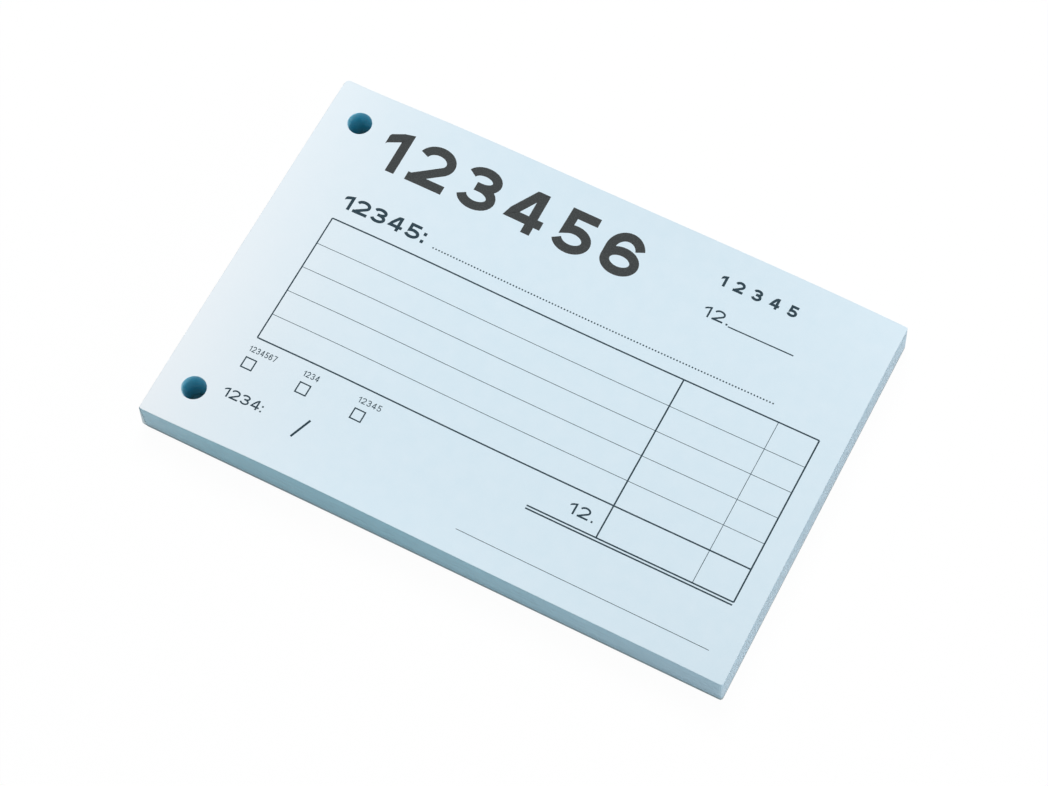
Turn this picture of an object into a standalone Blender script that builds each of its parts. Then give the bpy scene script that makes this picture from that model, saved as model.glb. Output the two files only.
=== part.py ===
"""Expense form pad: a stack of drilled form sheets on a greyboard back, glued along one short edge.

Units are metres and +Z is up. X runs along the lines of the form, from the bound edge to the free
edge, Y runs up the page, and the origin lies on the table under the middle of the pad.
"""

import math

import bmesh
import bpy
from mathutils import Matrix

MM = 0.001

# Form sheets: all of one size, counted from the top of the pad
SHEET_LENGTH = 150.0 * MM
SHEET_WIDTH = 100.0 * MM
SHEET_THICKNESS = 0.086 * MM
SHEET_GAP = 0.01 * MM
SHEET_COUNT = 100
TURNING_SHEETS = 4
BUNDLE_SHEETS = 2

# Filing holes, drilled through the sheets and the board
HOLE_DIAMETER = 6.0 * MM
HOLE_SPACING = 80.0 * MM
HOLE_MARGIN = 9.0 * MM
HOLE_SIDES = 24

# Greyboard back, cut together with the sheets
BOARD_THICKNESS = 1.0 * MM

# Film of padding glue on the bound edge
GLUE_THICKNESS = 0.25 * MM
GLUE_GAP = 0.05 * MM
GLUE_SETBACK = 0.02 * MM

# Linear colours and roughness of the three materials
PAPER_COLOR = (0.67, 0.81, 0.88)
PAPER_ROUGHNESS = 0.85
BOARD_COLOR = (0.26, 0.25, 0.23)
BOARD_ROUGHNESS = 0.95
GLUE_COLOR = (0.72, 0.74, 0.72)
GLUE_ROUGHNESS = 0.35

# Places worked out from the sizes above
PAD_LENGTH = SHEET_LENGTH + GLUE_GAP + GLUE_THICKNESS
GLUE_OUTER_X = -PAD_LENGTH / 2
GLUE_INNER_X = GLUE_OUTER_X + GLUE_THICKNESS
BOUND_EDGE_X = GLUE_INNER_X + GLUE_GAP
SHEET_PITCH = SHEET_THICKNESS + SHEET_GAP
PAD_HEIGHT = BOARD_THICKNESS + SHEET_COUNT * SHEET_PITCH


def clear_scene() -> None:
    """Remove every object that the file opened with."""
    for old in list(bpy.data.objects):
        bpy.data.objects.remove(old, do_unlink=True)


def new_collection(name: str) -> bpy.types.Collection:
    """Return a new collection in the scene."""
    collection = bpy.data.collections.new(name)
    bpy.context.scene.collection.children.link(collection)
    return collection


def new_material(name: str, color: tuple, roughness: float) -> bpy.types.Material:
    """Return a non-metal material of one colour."""
    material = bpy.data.materials.new(name)
    material.use_nodes = True
    shader = material.node_tree.nodes["Principled BSDF"]
    shader.inputs["Base Color"].default_value = (*color, 1.0)
    shader.inputs["Roughness"].default_value = roughness
    shader.inputs["Metallic"].default_value = 0.0
    return material


def add_closed_line(curve: bpy.types.Curve, points: list) -> None:
    """Add a closed line of straight pieces to a flat curve."""
    spline = curve.splines.new("POLY")
    spline.points.add(len(points) - 1)
    for point, (x, y) in zip(spline.points, points):
        point.co = (x, y, 0.0, 1.0)
    spline.use_cyclic_u = True


def hole_outline(center_y: float) -> list:
    """Return the round outline of one filing hole, measured from the bound edge."""
    radius = HOLE_DIAMETER / 2
    angles = [2 * math.pi * side / HOLE_SIDES for side in range(HOLE_SIDES)]
    return [(HOLE_MARGIN + radius * math.cos(a), center_y + radius * math.sin(a)) for a in angles]


def drilled_plate(name: str, thickness: float) -> bpy.types.Curve:
    """Return the sheet's outline with its two holes, given a thickness.

    The outline starts at the middle of the bound edge, and its middle plane is Z = 0.
    """
    curve = bpy.data.curves.new(name, "CURVE")
    curve.dimensions = "2D"
    curve.fill_mode = "BOTH"
    curve.extrude = thickness / 2
    half_width = SHEET_WIDTH / 2
    corners = [(0.0, -half_width), (SHEET_LENGTH, -half_width), (SHEET_LENGTH, half_width), (0.0, half_width)]
    add_closed_line(curve, corners)
    for side in (-1, 1):
        add_closed_line(curve, hole_outline(side * HOLE_SPACING / 2))
    return curve


def add_part(
    collection: bpy.types.Collection,
    name: str,
    data: bpy.types.ID,
    material: bpy.types.Material,
    location: tuple,
) -> bpy.types.Object:
    """Place one named piece of the pad."""
    if not data.materials:
        data.materials.append(material)
    part = bpy.data.objects.new(name, data)
    part.location = location
    collection.objects.link(part)
    return part


def stack_height(sheets_above: float) -> float:
    """Return the height of the stack under a number of sheets, counted from the top."""
    return PAD_HEIGHT - sheets_above * SHEET_PITCH


def add_backing_board(collection: bpy.types.Collection, material: bpy.types.Material) -> None:
    """Lay the greyboard on the table, under the sheets."""
    plate = drilled_plate("backing_board", BOARD_THICKNESS)
    add_part(collection, "backing_board", plate, material, (BOUND_EDGE_X, 0.0, BOARD_THICKNESS / 2))


def add_sheet_bundles(collection: bpy.types.Collection, material: bpy.types.Material) -> None:
    """Stack the sheets under the turning ones, a few to each piece, down to the board."""
    plates = {}
    firsts = range(TURNING_SHEETS, SHEET_COUNT, BUNDLE_SHEETS)
    for number, first in enumerate(firsts, start=1):
        sheets = min(BUNDLE_SHEETS, SHEET_COUNT - first)
        thickness = sheets * SHEET_PITCH - SHEET_GAP
        if sheets not in plates:
            plates[sheets] = drilled_plate(f"bundle_of_{sheets}", thickness)
        middle = stack_height(first) - thickness / 2
        name = f"sheet_bundle_{number:02d}"
        add_part(collection, name, plates[sheets], material, (BOUND_EDGE_X, 0.0, middle))


def add_turning_sheets(collection: bpy.types.Collection, material: bpy.types.Material) -> None:
    """Lay the top sheets, each on its own hinge, so that a lower sheet carries those above it.

    The hinges share one axis, along the top of the glue film's inner face.
    """
    plate = drilled_plate("form_sheet", SHEET_THICKNESS)
    carrier = None
    for number in range(TURNING_SHEETS, 0, -1):
        hinge = bpy.data.objects.new(f"hinge_{number}", None)
        hinge.empty_display_size = SHEET_WIDTH / 10
        collection.objects.link(hinge)
        if carrier is None:
            hinge.location = (GLUE_INNER_X, 0.0, PAD_HEIGHT)
        else:
            hinge.parent = carrier
        middle = stack_height(number - 1) - SHEET_THICKNESS / 2
        below_hinge = (GLUE_GAP, 0.0, middle - PAD_HEIGHT)
        sheet = add_part(collection, f"form_sheet_{number}", plate, material, below_hinge)
        sheet.parent = hinge
        carrier = hinge


def add_padding_glue(collection: bpy.types.Collection, material: bpy.types.Material) -> None:
    """Coat the bound edge with a thin film, set back from the top and bottom of the pad."""
    height = PAD_HEIGHT - 2 * GLUE_SETBACK
    size = Matrix.Diagonal((GLUE_THICKNESS, SHEET_WIDTH, height, 1.0))
    mesh = bpy.data.meshes.new("padding_glue")
    film = bmesh.new()
    bmesh.ops.create_cube(film, size=1.0, matrix=size)
    film.to_mesh(mesh)
    film.free()
    middle_x = (GLUE_OUTER_X + GLUE_INNER_X) / 2
    add_part(collection, "padding_glue", mesh, material, (middle_x, 0.0, PAD_HEIGHT / 2))


def main() -> None:
    """Build the pad from the table up."""
    clear_scene()
    pad = new_collection("expense_form_pad")
    paper = new_material("form_paper", PAPER_COLOR, PAPER_ROUGHNESS)
    greyboard = new_material("greyboard", BOARD_COLOR, BOARD_ROUGHNESS)
    glue = new_material("padding_glue", GLUE_COLOR, GLUE_ROUGHNESS)
    add_backing_board(pad, greyboard)
    add_sheet_bundles(pad, paper)
    add_turning_sheets(pad, paper)
    add_padding_glue(pad, glue)


main()
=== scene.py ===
"""Looks of the expense form pad: crowned paper sheets with a printed form, a greyboard back and a glue film.

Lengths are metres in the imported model's frame: X runs from the bound edge to the free edge, Y up the page
and Z up from the table. Dataclass fields that end in _mm are millimetres, and colours are linear.
"""

import logging
import math
from dataclasses import dataclass
from enum import Enum, IntEnum
from typing import NamedTuple

import bpy
import numpy as np
from mathutils import Matrix, Vector


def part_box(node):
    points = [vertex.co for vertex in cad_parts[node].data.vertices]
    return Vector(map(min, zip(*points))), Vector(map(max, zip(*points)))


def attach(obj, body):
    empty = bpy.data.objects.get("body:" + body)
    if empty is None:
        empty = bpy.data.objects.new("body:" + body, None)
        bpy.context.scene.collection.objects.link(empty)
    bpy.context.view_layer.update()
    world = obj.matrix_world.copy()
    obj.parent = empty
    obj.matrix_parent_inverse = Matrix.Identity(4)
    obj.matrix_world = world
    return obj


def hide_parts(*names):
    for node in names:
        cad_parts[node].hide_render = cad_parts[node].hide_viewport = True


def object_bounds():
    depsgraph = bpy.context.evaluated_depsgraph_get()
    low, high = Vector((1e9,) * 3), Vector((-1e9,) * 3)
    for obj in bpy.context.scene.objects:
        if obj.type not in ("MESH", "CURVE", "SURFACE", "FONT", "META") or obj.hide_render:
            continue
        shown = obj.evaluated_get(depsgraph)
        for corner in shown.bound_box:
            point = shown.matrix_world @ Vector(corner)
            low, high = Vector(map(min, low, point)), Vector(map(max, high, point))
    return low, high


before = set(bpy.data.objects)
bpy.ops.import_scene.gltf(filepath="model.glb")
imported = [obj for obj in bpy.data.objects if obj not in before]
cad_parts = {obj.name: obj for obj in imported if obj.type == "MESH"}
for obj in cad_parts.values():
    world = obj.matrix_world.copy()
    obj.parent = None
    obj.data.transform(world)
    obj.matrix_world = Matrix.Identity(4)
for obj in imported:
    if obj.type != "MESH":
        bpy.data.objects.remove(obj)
CAD_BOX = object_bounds()
PAD_HEIGHT = CAD_BOX[1][2]

MM = 0.001
PAD_BODY = "pad"
SHARP_ANGLE = math.radians(40.0)
NOISE_MIDDLE = 0.5
NEAR = 1e-6
TINY = 1e-9
LOG = logging.getLogger("form_pad")


class Slot(Enum):
    """The record's material slots."""

    PAPER = "form_paper"
    BOARD = "greyboard"
    GLUE = "padding_glue"


class Side(IntEnum):
    """The kinds of face on a drilled sheet, in the order of its materials."""

    FLAT = 0
    CUT = 1
    DRILLED = 2


class Weight(Enum):
    """Stroke widths of the printed numerals, as shares of their height."""

    HEAVY = 0.225
    BOLD = 0.2
    LIGHT = 0.155
    FINE = 0.13


class MixSocket(IntEnum):
    """The numbers of a Mix node's sockets when it mixes colours."""

    SHARE = 0
    RESULT = 2
    FIRST = 6
    SECOND = 7


@dataclass(frozen=True)
class Grain:
    """A noise pattern.

    Attributes:
        scale: Its features to the metre.
        stretch: The scale along X, Y and Z before its own.
        detail: Its finer octaves.
    """

    scale: float
    stretch: tuple = (1.0, 1.0, 1.0)
    detail: float = 2.0


class Value:
    """A socket of a material's nodes whose arithmetic adds Math nodes."""

    def __init__(self, graph: "Graph", socket: bpy.types.NodeSocket) -> None:
        """Keep the socket and the graph that it belongs to."""
        self.graph = graph
        self.socket = socket

    def _math(self, operation: str, first: object, second: object) -> "Value":
        """Return the result of one Math node."""
        return self.graph.node("ShaderNodeMath", {"operation": operation}, {0: first, 1: second})

    def __add__(self, other: object) -> "Value":
        """Return self + other."""
        return self._math("ADD", self, other)

    __radd__ = __add__

    def __sub__(self, other: object) -> "Value":
        """Return self - other."""
        return self._math("SUBTRACT", self, other)

    def __rsub__(self, other: object) -> "Value":
        """Return other - self."""
        return self._math("SUBTRACT", other, self)

    def __mul__(self, other: object) -> "Value":
        """Return self * other."""
        return self._math("MULTIPLY", self, other)

    __rmul__ = __mul__

    def __truediv__(self, other: object) -> "Value":
        """Return self / other."""
        return self._math("DIVIDE", self, other)

    def __rtruediv__(self, other: object) -> "Value":
        """Return other / self."""
        return self._math("DIVIDE", other, self)

    def __pow__(self, other: object) -> "Value":
        """Return self to the power of other."""
        return self._math("POWER", self, other)

    def at_least(self, other: object) -> "Value":
        """Return the larger of self and other."""
        return self._math("MAXIMUM", self, other)

    def within(self, limit: float) -> "Value":
        """Return 1 where self lies between -limit and limit, and 0 elsewhere."""
        size = self._math("ABSOLUTE", self, 0.0)
        return self._math("LESS_THAN", size, limit)


class Graph:
    """The nodes of one material or world."""

    def __init__(self, owner: bpy.types.Material | bpy.types.World) -> None:
        """Start an empty node tree.

        Args:
            owner: The material or world that the nodes belong to.
        """
        owner.use_nodes = True
        self.tree = owner.node_tree
        self.tree.nodes.clear()

    def node(
        self, kind: str, settings: dict | None = None, sockets: dict | None = None, out: int | str = 0
    ) -> Value:
        """Add any node.

        Args:
            kind: The node's type.
            settings: Attributes that are set first.
            sockets: Numbers, colours or Values for the inputs, by name or number.
            out: The name or number of the output to return.

        Returns:
            The output's Value, or the node's first input where it has no output.
        """
        made = self.tree.nodes.new(kind)
        for name, setting in (settings or {}).items():
            setattr(made, name, setting)
        for name, given in (sockets or {}).items():
            if isinstance(given, Value):
                self.tree.links.new(given.socket, made.inputs[name])
            else:
                made.inputs[name].default_value = given
        ends = made.outputs if made.outputs else made.inputs
        return Value(self, ends[out])

    def noise(self, grain: Grain) -> Value:
        """Add a noise pattern on Object coordinates.

        Args:
            grain: The pattern.

        Returns:
            A value about NOISE_MIDDLE, from 0 to 1.
        """
        place = self.node("ShaderNodeTexCoord", out="Object")
        place = self.node("ShaderNodeMapping", sockets={"Vector": place, "Scale": grain.stretch})
        sockets = {"Vector": place, "Scale": grain.scale, "Detail": grain.detail}
        return self.node("ShaderNodeTexNoise", sockets=sockets)

    def along(self, axis: str) -> Value:
        """Return the Object coordinate on the axis X, Y or Z."""
        place = self.node("ShaderNodeTexCoord", out="Object")
        return self.node("ShaderNodeSeparateXYZ", sockets={"Vector": place}, out=axis)

    def mix(self, share: Value, first: object, second: object) -> Value:
        """Mix two colours.

        Args:
            share: The second colour's share, cut to the range from 0 to 1.
            first: The colour at 0.
            second: The colour at 1.

        Returns:
            The mixed colour.
        """
        settings = {"data_type": "RGBA", "clamp_factor": True}
        sockets = {MixSocket.SHARE: share, MixSocket.FIRST: first, MixSocket.SECOND: second}
        return self.node("ShaderNodeMix", settings, sockets, out=MixSocket.RESULT)

    def bump(self, height: Value, strength: float, distance: float) -> Value:
        """Return the normal that a height gives, with distance in metres."""
        sockets = {"Height": height, "Strength": strength, "Distance": distance}
        return self.node("ShaderNodeBump", sockets=sockets)


def colour(red: float, green: float, blue: float) -> tuple:
    """Return a linear colour with full alpha."""
    return (red, green, blue, 1.0)


@dataclass(frozen=True)
class Touch:
    """How a finish takes the light.

    Attributes:
        roughness: The middle roughness.
        spread: How far the roughness goes over the whole range of its noise.
        specular: The strength of the plain reflection.
        relief: The strength of the relief.
        depth: The depth of the relief.
        coat: The weight of a clear coat.
    """

    roughness: float
    spread: float
    specular: float
    relief: float
    depth: float
    coat: float = 0.0


class Look(NamedTuple):
    """What a finish works out: its base colour, the noise that its roughness follows, and its relief."""

    base: Value
    uneven: Value
    height: Value


@dataclass(frozen=True)
class Finish:
    """What every finish has: a name, a touch and one material."""

    name: str
    touch: Touch

    def look(self, graph: Graph) -> Look:
        """Return the look, which each finish works out for itself."""
        raise NotImplementedError

    def material(self) -> bpy.types.Material:
        """Make a Principled shader of the finish's look and touch.

        Returns:
            The new material.
        """
        made = bpy.data.materials.new(self.name)
        graph = Graph(made)
        look, touch = self.look(graph), self.touch
        sockets = {
            "Base Color": look.base,
            "Roughness": touch.roughness + (look.uneven - NOISE_MIDDLE) * touch.spread,
            "Specular IOR Level": touch.specular,
            "Coat Weight": touch.coat,
            "Normal": graph.bump(look.height, touch.relief, touch.depth),
        }
        shader = graph.node("ShaderNodeBsdfPrincipled", sockets=sockets)
        graph.node("ShaderNodeOutputMaterial", sockets={"Surface": shader})
        return made


@dataclass(frozen=True)
class SheetFinish(Finish):
    """Light blue writing paper: cloudy formation, fine tooth, a few paler fibres and a painted sheen at the
    bound edge.
    """

    name: str = "form_paper_face"
    touch: Touch = Touch(roughness=0.8, spread=0.16, specular=0.25, relief=0.22, depth=0.02 * MM)
    pale: tuple = colour(0.684, 0.81, 0.884)
    deep: tuple = colour(0.656, 0.794, 0.872)
    fibre: tuple = colour(0.722, 0.83, 0.896)
    # painted sheen: the near-white that the paper turns to towards the bound edge
    margin: tuple = colour(0.823, 0.875, 0.908)
    clouds: Grain = Grain(260.0, detail=3.0)
    tooth: Grain = Grain(5200.0)
    lengthwise: Grain = Grain(900.0, (1.0, 7.0, 7.0))
    crosswise: Grain = Grain(900.0, (7.0, 1.0, 7.0))
    cloud_start: float = 0.3
    cloud_gain: float = 2.0
    tooth_gain: float = 0.5
    fibre_start: float = 0.3
    fibre_gain: float = 2.2
    fibre_relief: float = 0.5
    painted_sheen_start: float = -75.0 * MM
    painted_sheen_reach: float = 65.0 * MM
    painted_sheen_power: float = 2.0
    painted_sheen_middle: float = 0.79
    painted_sheen_slope: float = -4.4

    def look(self, graph: Graph) -> Look:
        """Lay clouds of about 4 mm, tooth of about 0.2 mm, fibres of about 1 mm and a painted sheen.

        The painted sheen is a power of the nearness to the bound edge, times a share that falls evenly up the
        page.

        Args:
            graph: The material's nodes.

        Returns:
            The finish's look.
        """
        tooth = graph.noise(self.tooth)
        fibres = graph.noise(self.lengthwise) * graph.noise(self.crosswise)
        fibres = (fibres - self.fibre_start) * self.fibre_gain
        cloudy = (graph.noise(self.clouds) - self.cloud_start) * self.cloud_gain
        paper = graph.mix(cloudy + (tooth - NOISE_MIDDLE) * self.tooth_gain, self.deep, self.pale)
        # painted sheen: whitens the paper towards the bound edge, more towards the front
        near = (self.painted_sheen_start + self.painted_sheen_reach - graph.along("X")) / self.painted_sheen_reach
        painted_sheen = near.at_least(0.0) ** self.painted_sheen_power
        painted_sheen = painted_sheen * (self.painted_sheen_middle + graph.along("Y") * self.painted_sheen_slope)
        base = graph.mix(painted_sheen, graph.mix(fibres, paper, self.fibre), self.margin)
        return Look(base, tooth, tooth + fibres * self.fibre_relief)


@dataclass(frozen=True)
class EdgeFinish(Finish):
    """The guillotined edge of a sheet: deeper than its face, with streaks along the sheets and down the cut.

    Painted light makes the cut a little paler towards the foot and towards both short edges.
    """

    name: str = "form_paper_cut_edge"
    touch: Touch = Touch(roughness=0.9, spread=0.12, specular=0.15, relief=0.3, depth=0.02 * MM)
    pale: tuple = colour(0.535, 0.815, 0.91)
    deep: tuple = colour(0.42, 0.7, 0.8)
    # painted light: the paler colours towards both short edges
    painted_light_pale: tuple = colour(0.68, 0.84, 0.935)
    painted_light_deep: tuple = colour(0.54, 0.725, 0.83)
    layers: Grain = Grain(4800.0, (0.02, 0.02, 1.0))
    drag: Grain = Grain(2600.0, (1.0, 1.0, 0.05), 3.0)
    patches: Grain = Grain(60.0, (1.0, 1.0, 2.5))
    layer_gain: float = 0.9
    drag_gain: float = 0.5
    patch_gain: float = 0.6
    # painted light: how much paler the cut is towards the foot
    painted_foot_light_gain: float = 0.9
    painted_foot_light_level: float = 0.5
    start: float = 0.5
    painted_light_start: float = -10.0 * MM
    painted_light_reach: float = 85.0 * MM
    bound_start: float = -58.0 * MM
    bound_reach: float = 34.0 * MM

    def look(self, graph: Graph) -> Look:
        """Lay layers of about 0.2 mm along the stack, drag lines across it, and painted light at the foot and
        both ends.

        Args:
            graph: The material's nodes.

        Returns:
            The finish's look.
        """
        layers = graph.noise(self.layers)
        drag = graph.noise(self.drag)
        patches = graph.noise(self.patches)
        # painted light: paler towards the foot
        lower = self.painted_foot_light_level - graph.along("Z") / PAD_HEIGHT
        share = layers * self.layer_gain + drag * self.drag_gain
        share = share + patches * self.patch_gain + lower * self.painted_foot_light_gain - self.start
        # painted light: paler towards both short edges
        free = (graph.along("X") - self.painted_light_start) / self.painted_light_reach
        bound = (self.bound_start - graph.along("X")) / self.bound_reach
        edge = graph.mix(share, self.deep, self.pale)
        painted_light = graph.mix(share, self.painted_light_deep, self.painted_light_pale)
        return Look(graph.mix(free.at_least(bound), edge, painted_light), drag, layers + drag)


@dataclass(frozen=True)
class DrillFinish(Finish):
    """The wall of a drilled hole: pressed, deep blue-green paper with rings from the drill.

    Its blue-green is partly the paper's own colour and partly painted light that stands for light through the
    sheets.
    It is palest at the lip, with painted light, and darkest at the foot, with painted shade.
    """

    name: str = "form_paper_drilled"
    touch: Touch = Touch(roughness=0.6, spread=0.3, specular=0.0, relief=0.3, depth=0.02 * MM)
    # partly painted light: brighter and more saturated than the paper, for light through the sheets
    pale: tuple = colour(0.004, 0.9, 1.0)
    deep: tuple = colour(0.001, 0.62, 1.0)
    # painted shade: the colour at the foot of the hole
    foot: tuple = colour(0.09, 0.46, 0.56)
    # painted light: the colour at the lip of the hole
    painted_lip_light: tuple = colour(0.32, 0.8, 1.0)
    rings: Grain = Grain(3200.0, (0.05, 0.05, 1.0), 3.0)
    scuff: Grain = Grain(1500.0, (1.0, 1.0, 0.3))
    ring_gain: float = 1.2
    scuff_gain: float = 0.6
    start: float = 0.4
    painted_lip_depth: float = 3.6 * MM

    def look(self, graph: Graph) -> Look:
        """Lay rings of about 0.3 mm round the hole, painted shade that deepens evenly towards the foot, and
        painted light at the lip.

        Args:
            graph: The material's nodes.

        Returns:
            The finish's look.
        """
        rings = graph.noise(self.rings)
        scuff = graph.noise(self.scuff)
        height = graph.along("Z")
        share = rings * self.ring_gain + scuff * self.scuff_gain - self.start
        wall = graph.mix(share, self.deep, self.pale)
        # painted shade: darker towards the foot of the hole
        wall = graph.mix(height / PAD_HEIGHT, self.foot, wall)
        # painted light: paler towards the lip
        near = (height - PAD_HEIGHT) / self.painted_lip_depth + 1.0
        return Look(graph.mix(near, wall, self.painted_lip_light), scuff, rings)


@dataclass(frozen=True)
class BoardFinish(Finish):
    """Greyboard of pulped waste paper: grey with dark and pale flecks and a coarse felt."""

    name: str = "greyboard_pulp"
    touch: Touch = Touch(roughness=0.93, spread=0.1, specular=0.2, relief=0.5, depth=0.05 * MM)
    grey: tuple = colour(0.36, 0.37, 0.385)
    dark: tuple = colour(0.19, 0.19, 0.195)
    pale: tuple = colour(0.5, 0.5, 0.505)
    felt: Grain = Grain(700.0, (1.0, 1.0, 3.0), 4.0)
    flecks: Grain = Grain(1900.0, (1.0, 2.4, 2.4))
    spots: Grain = Grain(1500.0, (2.2, 1.0, 2.2))
    felt_gain: float = 0.6
    fleck_start: float = 0.58
    spot_start: float = 0.6
    fleck_gain: float = 5.0
    fleck_relief: float = 0.5

    def look(self, graph: Graph) -> Look:
        """Lay flecks of about 0.5 mm on a felt of about 1.5 mm.

        Args:
            graph: The material's nodes.

        Returns:
            The finish's look.
        """
        felt = graph.noise(self.felt)
        flecks = graph.noise(self.flecks)
        spotted = (graph.noise(self.spots) - self.spot_start) * self.fleck_gain
        flecked = (flecks - self.fleck_start) * self.fleck_gain + (felt - NOISE_MIDDLE) * self.felt_gain
        base = graph.mix(flecked, graph.mix(spotted, self.grey, self.dark), self.pale)
        return Look(base, felt, felt + flecks * self.fleck_relief)


@dataclass(frozen=True)
class GlueFinish(Finish):
    """Padding compound, dried to a satin film with brush marks, through which the paper's blue shows."""

    name: str = "padding_glue_film"
    touch: Touch = Touch(roughness=0.38, spread=0.25, specular=0.5, relief=0.35, depth=0.06 * MM, coat=0.25)
    milky: tuple = colour(0.56, 0.66, 0.69)
    thin: tuple = colour(0.4, 0.55, 0.61)
    brush: Grain = Grain(1100.0, (1.0, 0.08, 1.0), 3.0)
    pools: Grain = Grain(130.0, (1.0, 1.0, 1.6))
    pool_gain: float = 1.6
    brush_gain: float = 0.7
    start: float = 0.65

    def look(self, graph: Graph) -> Look:
        """Lay brush marks of about 1 mm, and thin places that let the paper show.

        Args:
            graph: The material's nodes.

        Returns:
            The finish's look.
        """
        brush = graph.noise(self.brush)
        pools = graph.noise(self.pools)
        share = pools * self.pool_gain + brush * self.brush_gain - self.start
        return Look(graph.mix(share, self.thin, self.milky), pools, brush + pools)


@dataclass(frozen=True)
class InkFinish(Finish):
    """Offset printing ink, a little uneven where the paper's tooth shows through."""

    name: str = "form_ink"
    touch: Touch = Touch(roughness=0.66, spread=0.3, specular=0.2, relief=0.15, depth=0.01 * MM)
    full: tuple = colour(0.026, 0.031, 0.032)
    starved: tuple = colour(0.066, 0.074, 0.074)
    coverage: Grain = Grain(3400.0, detail=3.0)
    start: float = 0.42
    gain: float = 2.4

    def look(self, graph: Graph) -> Look:
        """Vary the ink's coverage over about 0.3 mm.

        Args:
            graph: The material's nodes.

        Returns:
            The finish's look.
        """
        coverage = graph.noise(self.coverage)
        share = (coverage - self.start) * self.gain
        return Look(graph.mix(share, self.full, self.starved), coverage, coverage)


CUT_BOARD = BoardFinish(
    "greyboard_cut",
    grey=colour(0.4, 0.47, 0.49),
    dark=colour(0.25, 0.3, 0.32),
    pale=colour(0.52, 0.57, 0.585),
)
# painted light: the board's hole wall is tinted blue and lightened for the blue light that the paper walls
# throw into the hole
DRILLED_BOARD_PAINTED_LIGHT = BoardFinish(
    "greyboard_drilled_painted_light",
    grey=colour(0.32, 0.5, 0.55),
    dark=colour(0.24, 0.42, 0.47),
    pale=colour(0.4, 0.58, 0.62),
)
FINE_INK = InkFinish("form_ink_fine", full=colour(0.008, 0.03, 0.045), starved=colour(0.028, 0.062, 0.08))


class Finishes:
    """The pad's materials, each made once. Those of paper and board are in the order of Side."""

    def __init__(self) -> None:
        """Make all materials."""
        self.paper = [finish.material() for finish in (SheetFinish(), EdgeFinish(), DrillFinish())]
        self.board = [finish.material() for finish in (BoardFinish(), CUT_BOARD, DRILLED_BOARD_PAINTED_LIGHT)]
        self.glue = [GlueFinish().material()]
        self.ink = [InkFinish().material()]
        self.fine_ink = [FINE_INK.material()]


@dataclass
class Shape:
    """A surface of four-sided faces before it becomes a mesh.

    Attributes:
        points: Places, one row each.
        faces: Four point numbers a row, turning left as seen from outside.
        kinds: The number of each face's material.
        smooth: Whether each face is shaded smooth.
    """

    points: np.ndarray
    faces: np.ndarray
    kinds: np.ndarray
    smooth: np.ndarray

    @classmethod
    def joined(cls, shapes: list["Shape"]) -> "Shape":
        """Put several shapes into one, with the later ones' point numbers moved up.

        Args:
            shapes: The shapes, in order.

        Returns:
            The one shape.
        """
        starts = np.cumsum([0] + [len(shape.points) for shape in shapes])
        return cls(
            np.concatenate([shape.points for shape in shapes]),
            np.concatenate([shape.faces + start for shape, start in zip(shapes, starts)]),
            np.concatenate([shape.kinds for shape in shapes]),
            np.concatenate([shape.smooth for shape in shapes]),
        )

    def piece(self, name: str, materials: list[bpy.types.Material]) -> bpy.types.Object:
        """Make the mesh and its object at the origin.

        Args:
            name: The piece's name.
            materials: The materials that kinds counts.

        Returns:
            The new object, linked to the scene.
        """
        count, corners = self.faces.shape
        mesh = bpy.data.meshes.new(name)
        mesh.vertices.add(len(self.points))
        mesh.vertices.foreach_set("co", self.points.astype(np.float32).ravel())
        mesh.loops.add(count * corners)
        mesh.loops.foreach_set("vertex_index", self.faces.astype(np.int32).ravel())
        mesh.polygons.add(count)
        mesh.polygons.foreach_set("loop_start", np.arange(0, count * corners, corners, dtype=np.int32))
        mesh.update(calc_edges=True)
        for material in materials:
            mesh.materials.append(material)
        mesh.polygons.foreach_set("material_index", self.kinds.astype(np.int32))
        mesh.polygons.foreach_set("use_smooth", self.smooth.astype(bool))
        mesh.update()
        mesh.set_sharp_from_angle(angle=SHARP_ANGLE)
        made = bpy.data.objects.new(name, mesh)
        bpy.context.scene.collection.objects.link(made)
        LOG.info("%s: %d faces", name, count)
        return made


def stand_in(piece: bpy.types.Object, body: str, node: str) -> None:
    """Let a new piece move with a body and stand for a CAD node.

    Args:
        piece: The new piece.
        body: The body that it rides on.
        node: The node that it replaces.
    """
    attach(piece, body)
    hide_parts(node)


def grid_faces(rows: int, columns: int) -> np.ndarray:
    """Work out the faces of a grid of points that is stored row by row, one face for each cell.

    Args:
        rows: The grid's rows of points.
        columns: Its columns of points.

    Returns:
        Four point numbers a row.
    """
    corner = np.arange(rows * columns).reshape(rows, columns)
    cells = (corner[:-1, :-1], corner[:-1, 1:], corner[1:, 1:], corner[1:, :-1])
    return np.stack(cells, axis=-1).reshape(-1, 4)


def slab(top: np.ndarray, faces: np.ndarray, drop: np.ndarray, rims: np.ndarray) -> Shape:
    """Close a surface into a slab: the surface, its copy moved by drop, and a wall along every open edge.

    An edge is open where no other face has it the other way round.

    Args:
        top: Places on the surface.
        faces: Its faces.
        drop: The move from the surface to its copy.
        rims: Whether each point lies on a drilled hole's rim.

    Returns:
        The closed slab, with its walls marked as cut or drilled.
    """
    count = len(top)
    edges = np.stack([faces, np.roll(faces, -1, axis=1)], axis=-1).reshape(-1, 2)
    there = edges[:, 0] * count + edges[:, 1]
    back = edges[:, 1] * count + edges[:, 0]
    start, end = edges[~np.isin(there, back)].T
    walls = np.column_stack([start, start + count, end + count, end])
    wall_kinds = np.where(rims[start] & rims[end], Side.DRILLED, Side.CUT)
    return Shape(
        np.concatenate([top, top + drop]),
        np.concatenate([faces, faces[:, ::-1] + count, walls]),
        np.concatenate([np.full(2 * len(faces), Side.FLAT), wall_kinds]),
        np.ones(2 * len(faces) + len(walls), bool),
    )


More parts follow.
